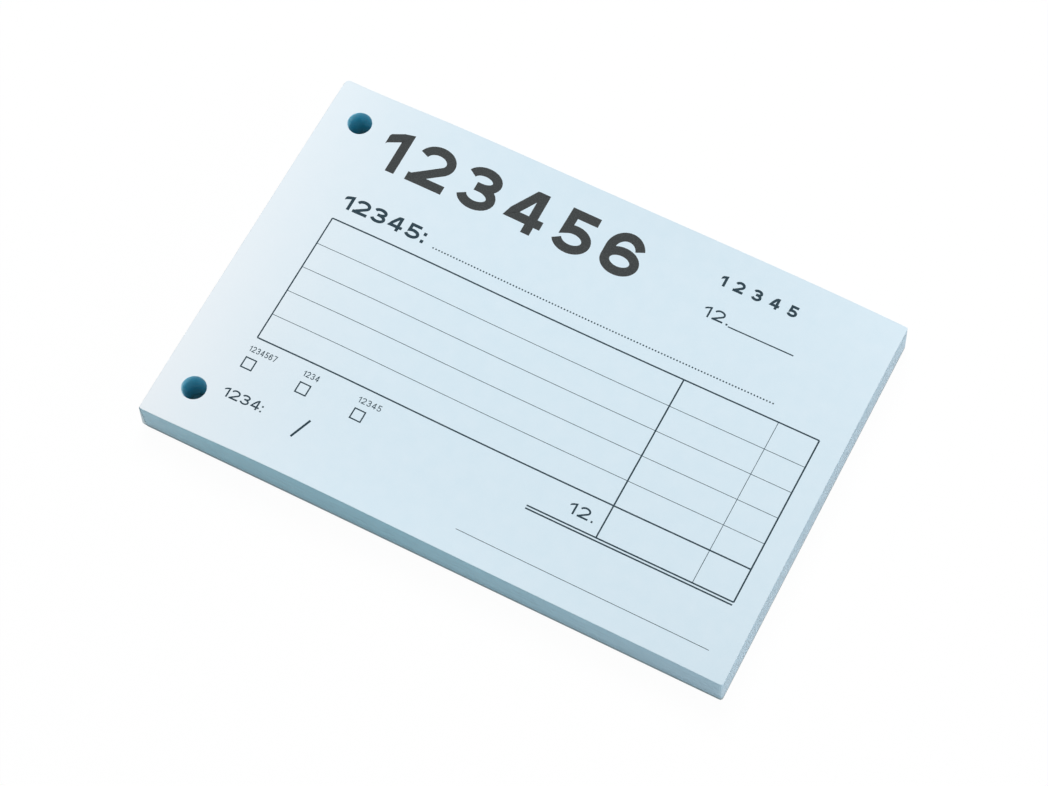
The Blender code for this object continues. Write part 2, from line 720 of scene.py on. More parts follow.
@dataclass(frozen=True)
class StackForm:
    """How the stack of cut and drilled sheets departs from a flat block, at the height of its top sheet."""

    left: float
    length: float
    width: float
    height: float
    middle_mm: float = -0.338
    long_edge_mm: float = 1.17
    short_edge_mm: float = 2.896
    corner_mm: float = 1.029
    bound_corner_share: float = 0.376
    bound_dip_mm: float = 2.574
    bound_reach: float = 0.168
    free_dip_mm: float = 1.862
    free_reach: float = 0.163
    wave_mm: float = 0.123
    twist_mm: float = -0.281
    lean_mm: tuple = (-0.27, -0.45)

    def rise(self, x: np.ndarray, y: np.ndarray) -> np.ndarray:
        """Work out how far the top sheet lies above a flat block.

        The middle is low. The rise grows with the fourth power of the distance towards the long edges, most
        halfway along them, and with the square towards the short edges, less at the corners. From that a
        bell curve is taken off at the bound edge, which the glue holds, and an exponential at the free edge.
        Each long edge also has one sine wave along it, the two unequal and in opposite ways.

        Args:
            x: Places along the sheet.
            y: Places across it.

        Returns:
            Heights in metres.
        """
        along = np.clip((x - self.left) / self.length, 0.0, 1.0)
        ends = (2.0 * along - 1.0) ** 2
        across = np.clip(2.0 * y / self.width, -1.0, 1.0)
        sides = across ** 4
        droop = self.corner_mm * (self.bound_corner_share + (1.0 - self.bound_corner_share) * along)
        rise = self.middle_mm + self.long_edge_mm * sides * (1.0 - ends)
        rise += ends * (self.short_edge_mm - droop * sides)
        rise += sides * (self.wave_mm + self.twist_mm * across) * np.sin(2.0 * math.pi * along)
        rise -= self.bound_dip_mm * np.exp(-((along / self.bound_reach) ** 2))
        rise -= self.free_dip_mm * np.exp((along - 1.0) / self.free_reach)
        return rise * MM

    def place(self, flat: np.ndarray) -> np.ndarray:
        """Move points of a flat block on to the stack.

        Rise and lean grow evenly from nothing on the table to all at the top sheet.

        Args:
            flat: Places in the flat block, one row each.

        Returns:
            Their places on the stack.
        """
        x, y, z = flat.T
        share = z / self.height
        lean_x, lean_y = self.lean_mm
        leaning = [x + lean_x * MM * share, y + lean_y * MM * share]
        return np.column_stack(leaning + [z + self.rise(x, y) * share])


@dataclass(frozen=True)
class Fineness:
    """How many cells a sheet's grid has in each stretch.

    Attributes:
        corner: Across a corner's square.
        hole: Across half of a hole's surround.
        rim: From a hole's middle to its rim, out of those.
        along: From the holes' surrounds to the corners at the free edge.
        across: Between the two holes' surrounds.
        beside: From a corner's square to the hole's surround, along the sheet.
        beyond: From a corner's square to the hole's surround, across the sheet.
    """

    corner: int
    hole: int
    rim: int
    along: int
    across: int
    beside: int = 1
    beyond: int = 2


FINE = Fineness(corner=4, hole=6, rim=4, along=46, across=34)
COARSE = Fineness(corner=3, hole=4, rim=3, along=20, across=10)


@dataclass(frozen=True)
class SheetPlan:
    """The outline of every sheet and of the board: cut corners and two filing holes."""

    left: float
    length: float
    width: float
    hole_radius_mm: float = 3.04
    hole_margin_mm: float = 8.8
    hole_spacing_mm: float = 80.17
    hole_shift_mm: float = 0.31
    hole_surround_mm: float = 6.0
    corner_mm: float = 0.3
    clipped_corner_mm: float = 1.2
    worn_corner_mm: float = 0.7

    def _lines(self, stops: list[float], cells: list[int]) -> np.ndarray:
        """Return grid lines that divide each stretch between two stops evenly."""
        runs = [np.linspace(a, b, n, endpoint=False) for a, b, n in zip(stops, stops[1:], cells)]
        return np.append(np.concatenate(runs), stops[-1])

    def _round_corners(self, x: np.ndarray, y: np.ndarray) -> tuple[np.ndarray, np.ndarray]:
        """Draw each corner's square of the grid in to a quarter disc.

        A point at (a, b) from the disc's middle moves to the same direction at the distance max(a, b).

        Args:
            x: The grid's places along the sheet.
            y: Its places across the sheet.

        Returns:
            The moved places.
        """
        middle = self.left + self.length / 2
        radii = {(-1, 1): self.clipped_corner_mm, (1, -1): self.worn_corner_mm}
        for side_x in (-1, 1):
            for side_y in (-1, 1):
                radius = radii.get((side_x, side_y), self.corner_mm) * MM
                base_x = middle + side_x * (self.length / 2 - radius)
                base_y = side_y * (self.width / 2 - radius)
                a = np.maximum((x - base_x) * side_x, 0.0)
                b = np.maximum((y - base_y) * side_y, 0.0)
                both = (a > 0) & (b > 0)
                pull = np.where(both, np.maximum(a, b) / np.maximum(np.hypot(a, b), TINY), 1.0)
                x = np.where(both, base_x + side_x * a * pull, x)
                y = np.where(both, base_y + side_y * b * pull, y)
        return x, y

    def _round_hole(self, x: np.ndarray, y: np.ndarray, hole: tuple, share: float) -> tuple:
        """Draw the square round a hole in, so that one of its inner squares becomes the hole's circle.

        A point's square goes by the larger of its two distances. Squares between the inner one and the
        outer one lie between the circle and the outer square in the same shares.

        Args:
            x: The grid's places along the sheet.
            y: Its places across the sheet.
            hole: The hole's centre.
            share: The inner square's size, as a share of the outer one's.

        Returns:
            The moved places, and how far out each point's square is.
        """
        surround = self.hole_surround_mm * MM
        a = (x - hole[0]) / surround
        b = (y - hole[1]) / surround
        ring = np.maximum(np.abs(a), np.abs(b))
        safe = np.maximum(ring, TINY)
        wide = np.abs(a) >= np.abs(b)
        turn = math.pi / 4 * np.where(wide, b, a) / np.where(wide, np.sign(a), np.sign(b)) / safe
        turn = np.where(ring > NEAR, turn, 0.0)
        circle_a = np.where(wide, np.sign(a) * np.cos(turn), np.sign(b) * np.sin(turn))
        circle_b = np.where(wide, np.sign(a) * np.sin(turn), np.sign(b) * np.cos(turn))
        out = np.clip((ring - share) / (1.0 - share), 0.0, 1.0)
        radius = self.hole_radius_mm * MM
        moved_x = hole[0] + radius * circle_a * (1.0 - out) + surround * a / safe * out
        moved_y = hole[1] + radius * circle_b * (1.0 - out) + surround * b / safe * out
        inside = ring < 1.0 - NEAR
        return np.where(inside, moved_x, x), np.where(inside, moved_y, y), ring

    def surface(self, fineness: Fineness) -> tuple[np.ndarray, np.ndarray, np.ndarray]:
        """Work out the sheet as a flat grid with round corners and round holes.

        Args:
            fineness: The cells in each stretch of the grid.

        Returns:
            Places (x, y), faces, and whether each point lies on a hole's rim.
        """
        corner = self.clipped_corner_mm * MM
        surround = self.hole_surround_mm * MM
        margin = self.left + self.hole_margin_mm * MM
        low, high = ((self.hole_shift_mm + side * self.hole_spacing_mm / 2) * MM for side in (-1, 1))
        right = self.left + self.length
        half = self.width / 2
        stops_x = [self.left, self.left + corner, margin - surround, margin + surround, right - corner, right]
        cells_x = [fineness.corner, fineness.beside, 2 * fineness.hole, fineness.along, fineness.corner]
        stops_y = [-half, corner - half, low - surround, low + surround]
        stops_y += [high - surround, high + surround, half - corner, half]
        cells_y = [fineness.corner, fineness.beyond, 2 * fineness.hole]
        cells_y += [fineness.across] + cells_y[::-1]
        x, y = np.meshgrid(self._lines(stops_x, cells_x), self._lines(stops_y, cells_y))
        faces = grid_faces(*x.shape)
        share = fineness.rim / fineness.hole
        gone = np.zeros(len(faces), bool)
        rims = np.zeros(x.size, bool)
        for centre_y in (low, high):
            x, y, ring = self._round_hole(x, y, (margin, centre_y), share)
            gone |= ring.ravel()[faces].max(axis=1) < share + NEAR
            rims |= np.abs(ring.ravel() - share) < NEAR
        x, y = self._round_corners(x, y)
        used, faces = np.unique(faces[~gone], return_inverse=True)
        places = np.column_stack([x.ravel(), y.ravel()])[used]
        return places, faces.reshape(-1, 4), rims[used]


@dataclass(frozen=True)
class Sheet:
    """One sheet in the stack: the height of its upper face, its thickness and its small shift."""

    top: float
    thickness: float
    shift: tuple = (0.0, 0.0)

    def shape(self, plan: SheetPlan, form: StackForm, fineness: Fineness) -> Shape:
        """Work out the sheet: the plan's grid, shifted, laid on the stack's form and given its thickness.

        Args:
            plan: The sheet's outline.
            form: The stack's form.
            fineness: The cells of the grid.

        Returns:
            The closed sheet.
        """
        places, faces, rims = plan.surface(fineness)
        flat = np.column_stack([places + self.shift, np.full(len(places), self.top)])
        return slab(form.place(flat), faces, np.array([0.0, 0.0, -self.thickness]), rims)


@dataclass
class Paper:
    """What all sheets share."""

    plan: SheetPlan
    form: StackForm
    finishes: Finishes
    pitch_mm: float = 0.096
    thickness_mm: float = 0.077
    shift_mm: tuple = (0.012, 0.03)
    seed: int = 20

    def shift(self, number: int) -> tuple:
        """Return the small shift of a numbered sheet from its true place."""
        rng = np.random.default_rng(self.seed + number)
        return tuple(rng.uniform(-1.0, 1.0, 2) * np.array(self.shift_mm) * MM)

    def sheet(self, top: float, number: int) -> Sheet:
        """Return the sheet whose CAD upper face is at a height."""
        return Sheet(top, self.thickness_mm * MM, self.shift(number))


@dataclass
class BackingBoard:
    """The greyboard under the sheets."""

    paper: Paper
    node: str = "backing_board"
    name: str = "greyboard_back"

    def build(self) -> None:
        """Lay the board on the table."""
        low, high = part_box(self.node)
        board = Sheet(high.z, high.z - low.z)
        shape = board.shape(self.paper.plan, self.paper.form, COARSE)
        shape.points[:, 2] = np.maximum(shape.points[:, 2], low.z)
        piece = shape.piece(self.name, self.paper.finishes.board)
        stand_in(piece, PAD_BODY, self.node)


@dataclass
class GlueFilm:
    """The film of padding compound on the bound edge.

    Attributes:
        ripples: Each wave's turn in radians to the metre, its start, and its turn from foot to top.
        squareness: The power by which the film thins at its top and bottom.
    """

    paper: Paper
    node: str = "padding_glue"
    name: str = "glue_film"
    columns: int = 160
    rows: int = 24
    end_gap_mm: float = 0.02
    far_gap_mm: float = 1.1
    thickness_mm: float = 0.1
    least_mm: float = 0.02
    wave_mm: float = 0.03
    foot_mm: float = 0.85
    clearance_mm: float = 0.015
    ripples: tuple = ((310.0, 1.1, 0.0), (730.0, 0.0, 2.0), (1370.0, 0.0, -3.0))
    squareness: int = 16

    def build(self) -> None:
        """Coat the bound edge.

        The outer face is a grid across and up the edge. It stands out evenly more towards its foot, with
        slow waves of several lengths, and thins almost to nothing close to its top and bottom.
        """
        low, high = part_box(self.node)
        form = self.paper.form
        across = np.linspace(low.y + self.end_gap_mm * MM, high.y - self.far_gap_mm * MM, self.columns)
        up = (1.0 - np.cos(np.linspace(0.0, math.pi, self.rows))) / 2
        y, share = np.meshgrid(across, up)
        z = low.z + (high.z - low.z) * share
        waves = sum(np.sin(y * pace + start + share * turn) for pace, start, turn in self.ripples)
        wave = waves / len(self.ripples) * self.wave_mm
        thick = (self.thickness_mm + wave + (1.0 - share) * self.foot_mm) * MM
        thin = np.sqrt(np.clip(1.0 - np.abs(2.0 * share - 1.0) ** self.squareness, 0.0, 1.0))
        inner = form.left - self.clearance_mm * MM
        outer = inner - np.maximum(thick * thin, self.least_mm * MM)
        front = form.place(np.column_stack([outer.ravel(), y.ravel(), z.ravel()]))
        back = form.place(np.column_stack([np.full(y.size, inner), y.ravel(), z.ravel()]))
        faces = grid_faces(self.rows, self.columns)[:, ::-1]
        shape = slab(front, faces, back - front, np.zeros(y.size, bool))
        shape.kinds[:] = 0
        piece = shape.piece(self.name, self.paper.finishes.glue)
        stand_in(piece, PAD_BODY, self.node)


@dataclass
class SheetBundle:
    """The sheets that one fixed CAD node stands for, each a sheet of its own."""

    paper: Paper
    node: str
    first_number: int
    fineness: Fineness = COARSE

    @property
    def heights(self) -> list[float]:
        """Count the bundle's sheets by their pitch.

        Returns:
            The heights of their upper faces, from the top down.
        """
        low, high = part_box(self.node)
        pitch = self.paper.pitch_mm * MM
        count = round((high.z - low.z) / pitch)
        return [high.z - pitch * step for step in range(count)]

    def build(self) -> int:
        """Lay the bundle's sheets on those below.

        Returns:
            How many sheets there are.
        """
        tops = self.heights
        sheets = [self.paper.sheet(top, self.first_number + step) for step, top in enumerate(tops)]
        shapes = [sheet.shape(self.paper.plan, self.paper.form, self.fineness) for sheet in sheets]
        name = self.node.replace("sheet_bundle", "sheets")
        piece = Shape.joined(shapes).piece(name, self.paper.finishes.paper)
        stand_in(piece, PAD_BODY, self.node)
        return len(tops)


@dataclass
class TurningSheet:
    """One of the top sheets, which turn over at the bound edge."""

    paper: Paper
    number: int

    @property
    def node(self) -> str:
        """The sheet's CAD node."""
        return f"form_sheet_{self.number}"

    @property
    def body(self) -> str:
        """The body that turns with the sheet."""
        return f"leaf_{self.number}"

    @property
    def top(self) -> float:
        """The height of the sheet's upper face."""
        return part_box(self.node)[1].z

    def build(self) -> None:
        """Lay the sheet on its body, which turns about the top of the glue film."""
        shape = self.paper.sheet(self.top, self.number).shape(self.paper.plan, self.paper.form, FINE)
        piece = shape.piece(f"top_sheet_{self.number}", self.paper.finishes.paper)
        stand_in(piece, self.body, self.node)


def arc(centre: tuple, radii: tuple, sweep: tuple, count: int) -> np.ndarray:
    """Return points on an ellipse, evenly from one angle to another in degrees."""
    angles = np.radians(np.linspace(*sweep, count))
    return np.column_stack([centre[0] + radii[0] * np.cos(angles), centre[1] + radii[1] * np.sin(angles)])


def run(*points: tuple) -> np.ndarray:
    """Return points in a row, as one array."""
    return np.array(points, float)


def divided(line: np.ndarray, step: float) -> np.ndarray:
    """Add points to a line, evenly on each stretch, so that no stretch is longer than a step.

    Args:
        line: The line's own points, one row each.
        step: The longest stretch.

    Returns:
        All points, in order.
    """
    lengths = np.linalg.norm(np.diff(line, axis=0), axis=1)
    counts = np.maximum(np.ceil(lengths / step), 1.0).astype(int)
    own = np.arange(len(line))
    within = np.arange(counts.sum()) - np.repeat(np.cumsum(counts) - counts, counts)
    places = np.append(np.repeat(own[:-1], counts) + within / np.repeat(counts, counts), own[-1])
    return np.column_stack([np.interp(places, own, column) for column in line.T])


# The width of a 1, as a share of the other numerals' widths
ONE_SHARE = 0.6


@dataclass(frozen=True)
class Numerals:
    """Plain numerals as centre lines in a box one high, all drawn with one stroke width.

    A field is named for its numeral and the part that it places. The fields one_flag, two_arch, three_waist,
    four_bar, bowl, six_shoulder, seven_overshoot and upper_dot are heights, and four_heel, seven_bend and
    dot_height count half strokes. A field that ends in sweep holds an arc's first and last angle in degrees,
    and one that ends in points counts an arc's points. The field three_width is a share of the lower bowl's
    width, and the others are shares of the numeral's.
    """

    width: float
    weight: Weight
    arc_points: int = 22
    one_flag: float = 0.76
    two_arch: float = 0.29
    two_sweep: tuple = (168.0, -38.0)
    three_waist: float = 0.525
    three_spur: float = 0.36
    three_middle: float = 0.48
    three_width: float = 0.93
    three_top_sweep: tuple = (165.0, -90.0)
    three_foot_sweep: tuple = (90.0, -165.0)
    four_stem: float = 0.72
    four_bar: float = 0.2
    four_heel: float = 1.1
    bowl: float = 0.325
    five_neck: float = 0.16
    five_roof: float = 0.93
    five_sweep: tuple = (128.0, -160.0)
    five_points: int = 34
    six_shoulder: float = 0.56
    six_sweep: tuple = (180.0, 22.0)
    six_ring_sweep: tuple = (180.0, -180.0)
    six_ring_points: int = 44
    seven_bend: float = 0.9
    seven_toe: float = 0.34
    seven_overshoot: float = 0.02
    dot_height: float = 2.2
    upper_dot: float = 0.52

    @property
    def half(self) -> float:
        """Half of the stroke width."""
        return self.weight.value / 2

    @property
    def wide(self) -> float:
        """Half of the width between the outer strokes' centre lines."""
        return self.width / 2 - self.half

    def strokes(self, sign: str) -> list[np.ndarray]:
        """Draw one sign.

        Args:
            sign: A numeral from 1 to 7, a colon or a point.

        Returns:
            Its centre lines.
        """
        makers = {
            "1": self._one,
            "2": self._two,
            "3": self._three,
            "4": self._four,
            "5": self._five,
            "6": self._six,
            "7": self._seven,
            ":": self._colon,
            ".": self._point,
        }
        return makers[sign]()

    def _one(self) -> list[np.ndarray]:
        """Return a slanting flag that turns down into a stem, at the right of a narrow space."""
        stem = ONE_SHARE * self.width - self.half
        return [run((-self.half, self.one_flag - self.half), (stem, 1.0 - self.half), (stem, 0.0))]

    def _two(self) -> list[np.ndarray]:
        """Draw an arch that runs down to a foot's left end, and the foot.

        Returns:
            Their centre lines.
        """
        height = self.two_arch - self.half / 2
        middle = (self.width / 2, 1.0 - self.half - height)
        arch = arc(middle, (self.wide, height), self.two_sweep, self.arc_points)
        slant = np.concatenate([arch, run((self.half, self.half))])
        return [slant, run((0.0, self.half), (self.width, self.half))]

    def _three(self) -> list[np.ndarray]:
        """Draw two bowls that meet in the middle.

        Returns:
            Their centre lines.
        """
        upper = (1.0 - self.half - self.three_waist) / 2
        lower = (self.three_waist - self.half) / 2
        spur = run((self.three_spur * self.width, self.three_waist))
        middle = (self.three_middle * self.width, self.three_waist + upper)
        top = arc(middle, (self.three_width * self.wide, upper), self.three_top_sweep, self.arc_points)
        middle = (self.width / 2, self.half + lower)
        bottom = arc(middle, (self.wide, lower), self.three_foot_sweep, self.arc_points)
        return [np.concatenate([top, spur]), np.concatenate([spur, bottom])]

    def _four(self) -> list[np.ndarray]:
        """Draw a stem and a bar, with a slant from the bar's end to the stem's top.

        Returns:
            Their centre lines.
        """
        stem = self.four_stem * self.width
        bar = self.four_bar + self.half
        slant = run((self.width, bar), (self.four_heel * self.half, bar), (stem, 1.0 + self.half))
        return [run((stem, 0.0), (stem, 1.0)), slant]

    def _bowl(self, sweep: tuple, count: int) -> np.ndarray:
        """Return a stretch of the round bowl that the 5 and the 6 stand on."""
        return arc((self.width / 2, self.bowl), (self.wide, self.bowl - self.half), sweep, count)

    def _five(self) -> list[np.ndarray]:
        """Draw a top bar and a short stem that turns into a bowl.

        Returns:
            Their centre line.
        """
        bowl = self._bowl(self.five_sweep, self.five_points)
        bar = 1.0 - self.half
        neck = self.five_neck * self.width + self.half
        return [np.concatenate([run((self.five_roof * self.width, bar), (neck, bar)), bowl])]

    def _six(self) -> list[np.ndarray]:
        """Draw a closed bowl and an arched stem on its left.

        Returns:
            Their centre lines.
        """
        height = 1.0 - self.six_shoulder - self.half
        middle = (self.width / 2, self.six_shoulder)
        arch = arc(middle, (self.wide, height), self.six_sweep, self.arc_points)
        bowl = self._bowl(self.six_ring_sweep, self.six_ring_points)
        return [bowl, np.concatenate([run((self.half, self.bowl)), arch])]

    def _seven(self) -> list[np.ndarray]:
        """Return a top bar that turns into a slanting stem."""
        corner = (self.width - self.seven_bend * self.half, 1.0 - self.half)
        return [run((0.0, 1.0 - self.half), corner, (self.seven_toe * self.width, -self.seven_overshoot))]

    def _point(self, foot: float = 0.0) -> list[np.ndarray]:
        """Return a square point that stands at a height."""
        return [run((self.half, foot), (self.half, foot + self.dot_height * self.half))]

    def _colon(self) -> list[np.ndarray]:
        """Return two square points."""
        return self._point() + self._point(self.upper_dot)


@dataclass(frozen=True)
class Caption:
    """A line of plain numerals: where it starts, how long and high it is, and its weight.

    Attributes:
        x_mm: The left end, from the sheet's bound edge.
        y_mm: The foot line, from the sheet's upper edge.
        length_mm: The line's length, closing mark included.
        height_mm: The numerals' height.
        count: How many numerals it counts up to.
        weight: The stroke's weight.
        mark: A closing colon or point, or nothing.
        gap: The space between two signs, as a share of a numeral's width.
    """

    x_mm: float
    y_mm: float
    length_mm: float
    height_mm: float
    count: int
    weight: Weight
    mark: str = ""
    gap: float = 0.3

    def lines(self) -> list[tuple[np.ndarray, float, tuple, int]]:
        """Set the signs one after another, so that they and the gaps between them fill the line.

        The numerals are equally wide but for a narrower 1, and a mark is as wide as a stroke.

        Returns:
            Each stroke's centre line, width and box in millimetres on the page, and its number in its sign.
        """
        stroke_width = self.weight.value * self.height_mm
        signs = [str(step + 1) for step in range(self.count)] + list(self.mark)
        spaces = self.count - 1 + ONE_SHARE + (len(signs) - 1) * self.gap
        wide = (self.length_mm - stroke_width * len(self.mark)) / spaces
        numerals = Numerals(wide / self.height_mm, self.weight)
        left = self.x_mm
        found = []
        for sign in signs:
            sign_width = {"1": ONE_SHARE * wide, self.mark: stroke_width}.get(sign, wide)
            box = (left, left + sign_width, self.y_mm - self.height_mm, self.y_mm)
            for layer, stroke in enumerate(numerals.strokes(sign)):
                place = stroke * (self.height_mm, -self.height_mm) + (left, self.y_mm)
                found.append((place, stroke_width, box, layer))
            left += sign_width + self.gap * wide
        return found


@dataclass
class PrintedForm:
    """The form that is printed on every sheet, in millimetres from the sheet's bound edge and upper edge.

    A field that ends in rule_mm is a rule's width, and one that ends in column_mm is a column's place. The
    fields sign_line_mm, serial_line_mm and dots_mm hold a line's left end, its right end and its row.
    """

    paper: Paper
    sheet_number: int
    top: float
    body: str
    turn_deg: float = -0.29
    ink_mm: float = 0.009
    layer_mm: float = 0.001
    bite_mm: float = 0.012
    step_mm: float = 1.2
    thin_rule_mm: float = 0.15
    medium_rule_mm: float = 0.38
    left_rule_mm: float = 0.35
    foot_rule_mm: float = 0.385
    serial_rule_mm: float = 0.32
    box_rule_mm: float = 0.34
    table_left_mm: float = 15.6
    table_right_mm: float = 143.85
    amount_column_mm: float = 109.2
    cents_column_mm: float = 133.51
    table_top_mm: float = 35.97
    first_row_mm: float = 43.6
    row_pitch_mm: float = 7.123
    row_count: int = 4
    total_top_mm: float = 71.98
    total_foot_mm: float = 80.9
    foot_gap_mm: float = 0.77
    foot_left_mm: float = 91.5
    sign_line_mm: tuple = (80.0, 143.95, 93.65)
    serial_line_mm: tuple = (112.2, 129.15, 18.93)
    dots_mm: tuple = (40.9, 130.6, 32.21)
    dot_pitch_mm: float = 0.798
    dot_mm: float = 0.38
    boxes_mm: tuple = (15.85, 30.4, 44.95)
    box_size_mm: float = 2.75
    box_top_mm: float = 77.55
    slash_mm: tuple = ((35.35, 90.9), (37.45, 85.25))
    slash_width_mm: float = 0.55
    heading: tuple = (Caption(16.8, 18.8, 69.8, 11.7, 6, Weight.BOLD),)
    captions: tuple = (
        Caption(105.3, 9.95, 20.0, 3.0, 5, Weight.HEAVY, gap=0.8),
        Caption(105.25, 18.85, 6.65, 3.0, 2, Weight.LIGHT, "."),
        Caption(15.7, 32.4, 22.3, 4.0, 5, Weight.BOLD, ":", gap=0.2),
        Caption(100.3, 78.15, 6.5, 3.0, 2, Weight.LIGHT, "."),
        Caption(15.6, 88.8, 10.5, 2.6, 4, Weight.LIGHT, ":", gap=0.2),
        Caption(15.4, 75.9, 7.2, 1.6, 7, Weight.FINE),
        Caption(29.9, 75.9, 4.1, 1.6, 4, Weight.FINE),
        Caption(44.5, 75.9, 6.0, 1.6, 5, Weight.FINE),
    )

    def signs(self, captions: tuple) -> list[Shape]:
        """Return the ribbons of all signs in some captions."""
        return [self._ribbon(*line) for caption in captions for line in caption.lines()]

    def rules(self) -> list[Shape]:
        """Draw the straight rules of the form, the columns one layer over the rows.

        Returns:
            Their ribbons.
        """
        left, right = self.table_left_mm, self.table_right_mm
        top, total, foot = self.table_top_mm, self.total_top_mm, self.total_foot_mm
        thin, medium = self.thin_rule_mm, self.medium_rule_mm
        steps = np.arange(self.row_count) * self.row_pitch_mm
        rows = [(left, right, self.first_row_mm + step, thin) for step in steps]
        rows += [(left, right, row, medium) for row in (top, total)]
        feet = (foot, foot + self.foot_gap_mm)
        rows += [(self.foot_left_mm, right, row, self.foot_rule_mm) for row in feet]
        rows += [(*self.sign_line_mm, thin), (*self.serial_line_mm, self.serial_rule_mm)]
        columns = [(left, total, self.left_rule_mm), (self.amount_column_mm, foot, medium)]
        columns += [(self.cents_column_mm, foot, thin), (right, foot, medium)]
        found = [self._ribbon(run((start, row), (end, row)), wide) for start, end, row, wide in rows]
        return found + [self._ribbon(run((x, top), (x, end)), wide, layer=1) for x, end, wide in columns]

    def boxes(self) -> list[Shape]:
        """Return the ribbons of the boxes to tick, each round a closed square."""
        square = run((0, 0), (1, 0), (1, 1), (0, 1), (0, 0)) * self.box_size_mm
        return [self._ribbon(square + (left, self.box_top_mm), self.box_rule_mm) for left in self.boxes_mm]

    def dots(self) -> list[Shape]:
        """Draw the dotted line.

        Returns:
            Its dots, each a short ribbon.
        """
        start, end, row = self.dots_mm
        half = self.dot_mm / 2
        places = np.arange(start, end, self.dot_pitch_mm)
        return [self._ribbon(run((x - half, row), (x + half, row)), self.dot_mm) for x in places]

    def _ribbon(self, line: np.ndarray, width: float, box: tuple | None = None, layer: int = 0) -> Shape:
        """Carry a flat ink profile along a line on the page.

        The line is divided finely enough to follow the sheet. At each point the two sides stand off along
        the mean of the neighbouring normals, lengthened so that corners are mitred. A sign's box cuts its
        ribbons off flush. The profile's four corners then go from page to stack: the upper two above the
        paper and the lower two inside it. A line that ends where it starts is joined to itself, and any
        other has a cap at each end.

        Args:
            line: Points in millimetres on the page.
            width: The ribbon's width in millimetres.
            box: Left, right, upper and lower limits of a sign, or None.
            layer: How many thin layers the ribbon lies higher, so that crossing ribbons share no plane.

        Returns:
            The closed ribbon.
        """
        line = divided(line, self.step_mm)
        step = np.diff(line, axis=0)
        step /= np.linalg.norm(step, axis=1)[:, None]
        normal = np.column_stack([step[:, 1], -step[:, 0]])
        closed = np.allclose(line[0], line[-1])
        before = np.concatenate([normal[-1:] if closed else normal[:1], normal])
        after = np.concatenate([normal, normal[:1] if closed else normal[-1:]])
        mitre = (before + after) / (1.0 + np.sum(before * after, axis=1))[:, None]
        sides = np.stack([line + mitre * width / 2, line - mitre * width / 2], axis=1)
        if box is not None:
            sides = np.clip(sides, (box[0], box[2]), (box[1], box[3]))
        sides = self._on_stack(sides.reshape(-1, 2)).reshape(-1, 2, 3)
        over = np.array([0.0, 0.0, (self.ink_mm + layer * self.layer_mm) * MM])
        under = np.array([0.0, 0.0, self.bite_mm * MM])
        profile = np.concatenate([sides + over, sides[:, ::-1] - under], axis=1)
        number = np.arange(profile.shape[0] * profile.shape[1]).reshape(profile.shape[:2])
        caps = [number[:1, ::-1], number[-1:]]
        if closed:
            profile = profile[:-1]
            number[-1] = number[0]
            caps = []
        around = np.roll(number, -1, axis=1)
        faces = np.stack([number[:-1], around[:-1], around[1:], number[1:]], axis=-1).reshape(-1, 4)
        faces = np.concatenate([faces] + caps)
        return Shape(profile.reshape(-1, 3), faces, np.zeros(len(faces), int), np.zeros(len(faces), bool))

    def _on_stack(self, page: np.ndarray) -> np.ndarray:
        """Turn page places by the print's small skew about the sheet's middle, and lay them on the sheet.

        Args:
            page: Places in millimetres on the page, one row each.

        Returns:
            Their places on the stack.
        """
        form = self.paper.form
        turn = math.radians(self.turn_deg)
        x = page[:, 0] * MM - form.length / 2
        y = form.width / 2 - page[:, 1] * MM
        shift = self.paper.shift(self.sheet_number)
        turned_x = x * math.cos(turn) - y * math.sin(turn) + form.left + form.length / 2 + shift[0]
        turned_y = x * math.sin(turn) + y * math.cos(turn) + shift[1]
        return form.place(np.column_stack([turned_x, turned_y, np.full(len(x), self.top)]))

    def _add(self, name: str, shapes: list[Shape]) -> None:
        """Make one printed piece, which goes with its sheet.

        Args:
            name: The piece's name, without its sheet's.
            shapes: Its ribbons.
        """
        finishes = self.paper.finishes
        ink = finishes.ink if name == "heading" else finishes.fine_ink
        piece = Shape.joined(shapes).piece(f"form_{self.sheet_number}_{name}", ink)
        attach(piece, self.body)

    def build(self) -> None:
        """Print the form on its sheet."""
        self._add("heading", self.signs(self.heading))
        self._add("captions", self.signs(self.captions))
        self._add("rules", self.rules() + [self._ribbon(run(*self.slash_mm), self.slash_width_mm)])
        self._add("dots", self.dots())
        self._add("boxes", self.boxes())


@dataclass(frozen=True)
class Lamp:
    """A soft lamp that faces a point on the pad."""

    name: str
    place: tuple
    aim: tuple
    size: tuple
    watts: float
    tint: tuple

    def build(self) -> None:
        """Hang the lamp."""
        data = bpy.data.lights.new(self.name, "AREA")
        data.shape = "RECTANGLE"
        data.size, data.size_y = self.size
        data.energy = self.watts
        data.color = self.tint
        lamp = bpy.data.objects.new(self.name, data)
        lamp.location = self.place
        lamp.rotation_euler = (Vector(self.aim) - Vector(self.place)).to_track_quat("-Z", "Y").to_euler()
        lamp.visible_camera = False
        bpy.context.scene.collection.objects.link(lamp)


